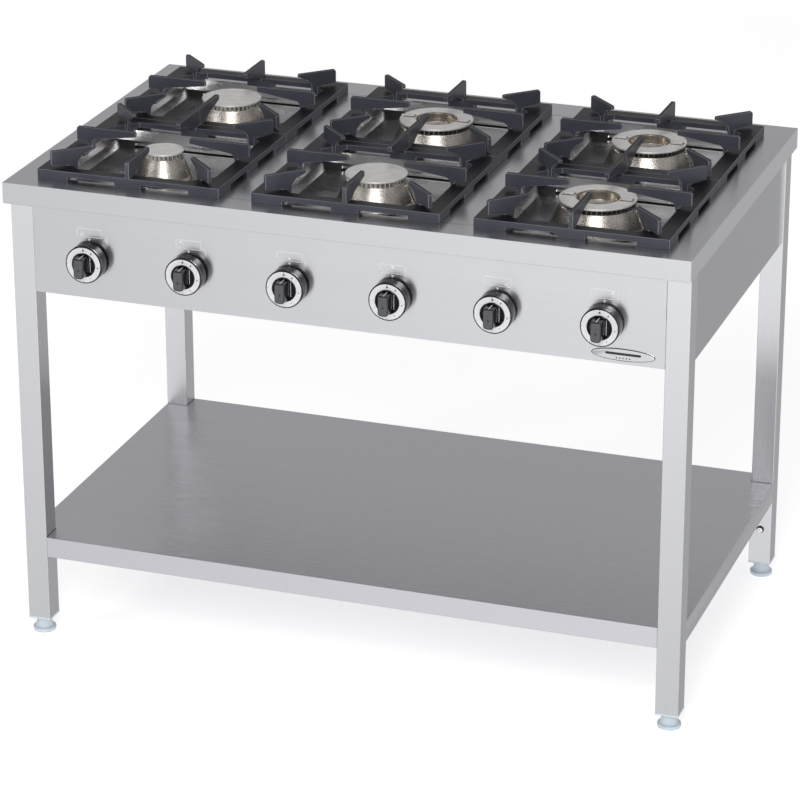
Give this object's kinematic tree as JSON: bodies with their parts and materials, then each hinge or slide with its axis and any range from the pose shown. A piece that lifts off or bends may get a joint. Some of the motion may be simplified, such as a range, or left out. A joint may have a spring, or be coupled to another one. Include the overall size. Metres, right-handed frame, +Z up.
{
  "type": "commercial gas range",
  "caption": "Open-stand commercial gas range: stainless frame with a storage shelf, lift-off cast grates over pressed wells, burners with lift-off caps and turning knobs.",
  "frame": {"origin": "middle of the overall footprint, knobs included, on the floor", "axes": "+Z up, +Y towards the back of the range, +X to the right of a cook who stands at the front (-Y) side"},
  "size_m": [1.2, 0.758, 0.896],
  "materials": {
    "brushed_steel_skin": "No. 4 brushed stainless steel, grain along the sheet",
    "frame_steel": "brushed stainless square tube and shelf",
    "pressed_steel": "bright pressed stainless steel",
    "grate_iron": "matt blue-black enamelled cast iron",
    "burner_casting": "satin nickel-plated casting",
    "burner_cap": "machined satin light alloy",
    "knob_plastic": "satin black plastic with a white printed dial ring",
    "spindle_steel": "turned steel",
    "valve_brass": "plain brass",
    "gas_pipe": "dull yellow zinc-plated pipe",
    "foot_plastic": "pale bluish translucent nylon",
    "name_plate": "blank silver oval plate"
  },
  "bodies": {
    "stand": {"worktop": "brushed_steel_skin", "shelf": "frame_steel", "control_panel": "brushed_steel_skin", "back_panel": "brushed_steel_skin", "side_panel_left": "brushed_steel_skin", "side_panel_right": "brushed_steel_skin", "divider_strip_left": "brushed_steel_skin", "divider_strip_right": "brushed_steel_skin", "gas_manifold": "gas_pipe", "gas_inlet": "valve_brass", "earth_terminal": "spindle_steel", "badge": "name_plate", "leg_front_left": "frame_steel", "leg_rear_left": "frame_steel", "leg_front_right": "frame_steel", "leg_rear_right": "frame_steel", "well_pan_left": "pressed_steel", "well_pan_centre": "pressed_steel", "well_pan_right": "pressed_steel", "burner_body_front_left": "burner_casting", "burner_body_rear_left": "burner_casting", "burner_body_front_centre": "burner_casting", "burner_body_rear_centre": "burner_casting", "burner_body_front_right": "burner_casting", "burner_body_rear_right": "burner_casting", "gas_valve_front_left": "valve_brass", "gas_valve_rear_left": "valve_brass", "gas_valve_front_centre": "valve_brass", "gas_valve_rear_centre": "valve_brass", "gas_valve_front_right": "valve_brass", "gas_valve_rear_right": "valve_brass"},
    "grate_front_left": {"grate_front_left": "grate_iron"},
    "burner_cap_front_left": {"burner_cap_front_left": "burner_cap"},
    "valve_spindle_front_left": {"valve_spindle_front_left": "spindle_steel"},
    "knob_front_left": {"knob_front_left": "knob_plastic"},
    "grate_rear_left": {"grate_rear_left": "grate_iron"},
    "burner_cap_rear_left": {"burner_cap_rear_left": "burner_cap"},
    "valve_spindle_rear_left": {"valve_spindle_rear_left": "spindle_steel"},
    "knob_rear_left": {"knob_rear_left": "knob_plastic"},
    "grate_front_centre": {"grate_front_centre": "grate_iron"},
    "burner_cap_front_centre": {"burner_cap_front_centre": "burner_cap"},
    "valve_spindle_front_centre": {"valve_spindle_front_centre": "spindle_steel"},
    "knob_front_centre": {"knob_front_centre": "knob_plastic"},
    "grate_rear_centre": {"grate_rear_centre": "grate_iron"},
    "burner_cap_rear_centre": {"burner_cap_rear_centre": "burner_cap"},
    "valve_spindle_rear_centre": {"valve_spindle_rear_centre": "spindle_steel"},
    "knob_rear_centre": {"knob_rear_centre": "knob_plastic"},
    "grate_front_right": {"grate_front_right": "grate_iron"},
    "burner_cap_front_right": {"burner_cap_front_right": "burner_cap"},
    "valve_spindle_front_right": {"valve_spindle_front_right": "spindle_steel"},
    "knob_front_right": {"knob_front_right": "knob_plastic"},
    "grate_rear_right": {"grate_rear_right": "grate_iron"},
    "burner_cap_rear_right": {"burner_cap_rear_right": "burner_cap"},
    "valve_spindle_rear_right": {"valve_spindle_rear_right": "spindle_steel"},
    "knob_rear_right": {"knob_rear_right": "knob_plastic"},
    "foot_front_left": {"foot_front_left": "foot_plastic"},
    "foot_rear_left": {"foot_rear_left": "foot_plastic"},
    "foot_front_right": {"foot_front_right": "foot_plastic"},
    "foot_rear_right": {"foot_rear_right": "foot_plastic"}
  },
  "joints": [
    {"name": "lift_grate_front_left", "type": "slide", "parent": "stand", "child": "grate_front_left", "axis": [0, 0, 1], "range_m": [0, 0.15]},
    {"name": "lift_cap_front_left", "type": "slide", "parent": "stand", "child": "burner_cap_front_left", "axis": [0, 0, 1], "range_m": [0, 0.01]},
    {"name": "turn_front_left", "type": "hinge", "parent": "stand", "child": "valve_spindle_front_left", "pos_m": [-0.4525, -0.32895, 0.721], "axis": [0, -1, 0], "range_deg": [0, 150]},
    {"name": "push_front_left", "type": "slide", "parent": "valve_spindle_front_left", "child": "knob_front_left", "axis": [0, 1, 0], "range_m": [0, 0.003], "stiffness_N_per_m": 2000},
    {"name": "lift_grate_rear_left", "type": "slide", "parent": "stand", "child": "grate_rear_left", "axis": [0, 0, 1], "range_m": [0, 0.15]},
    {"name": "lift_cap_rear_left", "type": "slide", "parent": "stand", "child": "burner_cap_rear_left", "axis": [0, 0, 1], "range_m": [0, 0.01]},
    {"name": "turn_rear_left", "type": "hinge", "parent": "stand", "child": "valve_spindle_rear_left", "pos_m": [-0.2715, -0.32895, 0.721], "axis": [0, -1, 0], "range_deg": [0, 150]},
    {"name": "push_rear_left", "type": "slide", "parent": "valve_spindle_rear_left", "child": "knob_rear_left", "axis": [0, 1, 0], "range_m": [0, 0.003], "stiffness_N_per_m": 2000},
    {"name": "lift_grate_front_centre", "type": "slide", "parent": "stand", "child": "grate_front_centre", "axis": [0, 0, 1], "range_m": [0, 0.15]},
    {"name": "lift_cap_front_centre", "type": "slide", "parent": "stand", "child": "burner_cap_front_centre", "axis": [0, 0, 1], "range_m": [0, 0.01]},
    {"name": "turn_front_centre", "type": "hinge", "parent": "stand", "child": "valve_spindle_front_centre", "pos_m": [-0.0905, -0.32895, 0.721], "axis": [0, -1, 0], "range_deg": [0, 150]},
    {"name": "push_front_centre", "type": "slide", "parent": "valve_spindle_front_centre", "child": "knob_front_centre", "axis": [0, 1, 0], "range_m": [0, 0.003], "stiffness_N_per_m": 2000},
    {"name": "lift_grate_rear_centre", "type": "slide", "parent": "stand", "child": "grate_rear_centre", "axis": [0, 0, 1], "range_m": [0, 0.15]},
    {"name": "lift_cap_rear_centre", "type": "slide", "parent": "stand", "child": "burner_cap_rear_centre", "axis": [0, 0, 1], "range_m": [0, 0.01]},
    {"name": "turn_rear_centre", "type": "hinge", "parent": "stand", "child": "valve_spindle_rear_centre", "pos_m": [0.0905, -0.32895, 0.721], "axis": [0, -1, 0], "range_deg": [0, 150]},
    {"name": "push_rear_centre", "type": "slide", "parent": "valve_spindle_rear_centre", "child": "knob_rear_centre", "axis": [0, 1, 0], "range_m": [0, 0.003], "stiffness_N_per_m": 2000},
    {"name": "lift_grate_front_right", "type": "slide", "parent": "stand", "child": "grate_front_right", "axis": [0, 0, 1], "range_m": [0, 0.15]},
    {"name": "lift_cap_front_right", "type": "slide", "parent": "stand", "child": "burner_cap_front_right", "axis": [0, 0, 1], "range_m": [0, 0.01]},
    {"name": "turn_front_right", "type": "hinge", "parent": "stand", "child": "valve_spindle_front_right", "pos_m": [0.2715, -0.32895, 0.721], "axis": [0, -1, 0], "range_deg": [0, 150]},
    {"name": "push_front_right", "type": "slide", "parent": "valve_spindle_front_right", "child": "knob_front_right", "axis": [0, 1, 0], "range_m": [0, 0.003], "stiffness_N_per_m": 2000},
    {"name": "lift_grate_rear_right", "type": "slide", "parent": "stand", "child": "grate_rear_right", "axis": [0, 0, 1], "range_m": [0, 0.15]},
    {"name": "lift_cap_rear_right", "type": "slide", "parent": "stand", "child": "burner_cap_rear_right", "axis": [0, 0, 1], "range_m": [0, 0.01]},
    {"name": "turn_rear_right", "type": "hinge", "parent": "stand", "child": "valve_spindle_rear_right", "pos_m": [0.4525, -0.32895, 0.721], "axis": [0, -1, 0], "range_deg": [0, 150]},
    {"name": "push_rear_right", "type": "slide", "parent": "valve_spindle_rear_right", "child": "knob_rear_right", "axis": [0, 1, 0], "range_m": [0, 0.003], "stiffness_N_per_m": 2000},
    {"name": "screw_foot_front_left", "type": "slide", "parent": "stand", "child": "foot_front_left", "axis": [0, 0, -1], "range_m": [0, 0.02]},
    {"name": "screw_foot_rear_left", "type": "slide", "parent": "stand", "child": "foot_rear_left", "axis": [0, 0, -1], "range_m": [0, 0.02]},
    {"name": "screw_foot_front_right", "type": "slide", "parent": "stand", "child": "foot_front_right", "axis": [0, 0, -1], "range_m": [0, 0.02]},
    {"name": "screw_foot_rear_right", "type": "slide", "parent": "stand", "child": "foot_rear_right", "axis": [0, 0, -1], "range_m": [0, 0.02]}
  ]
}
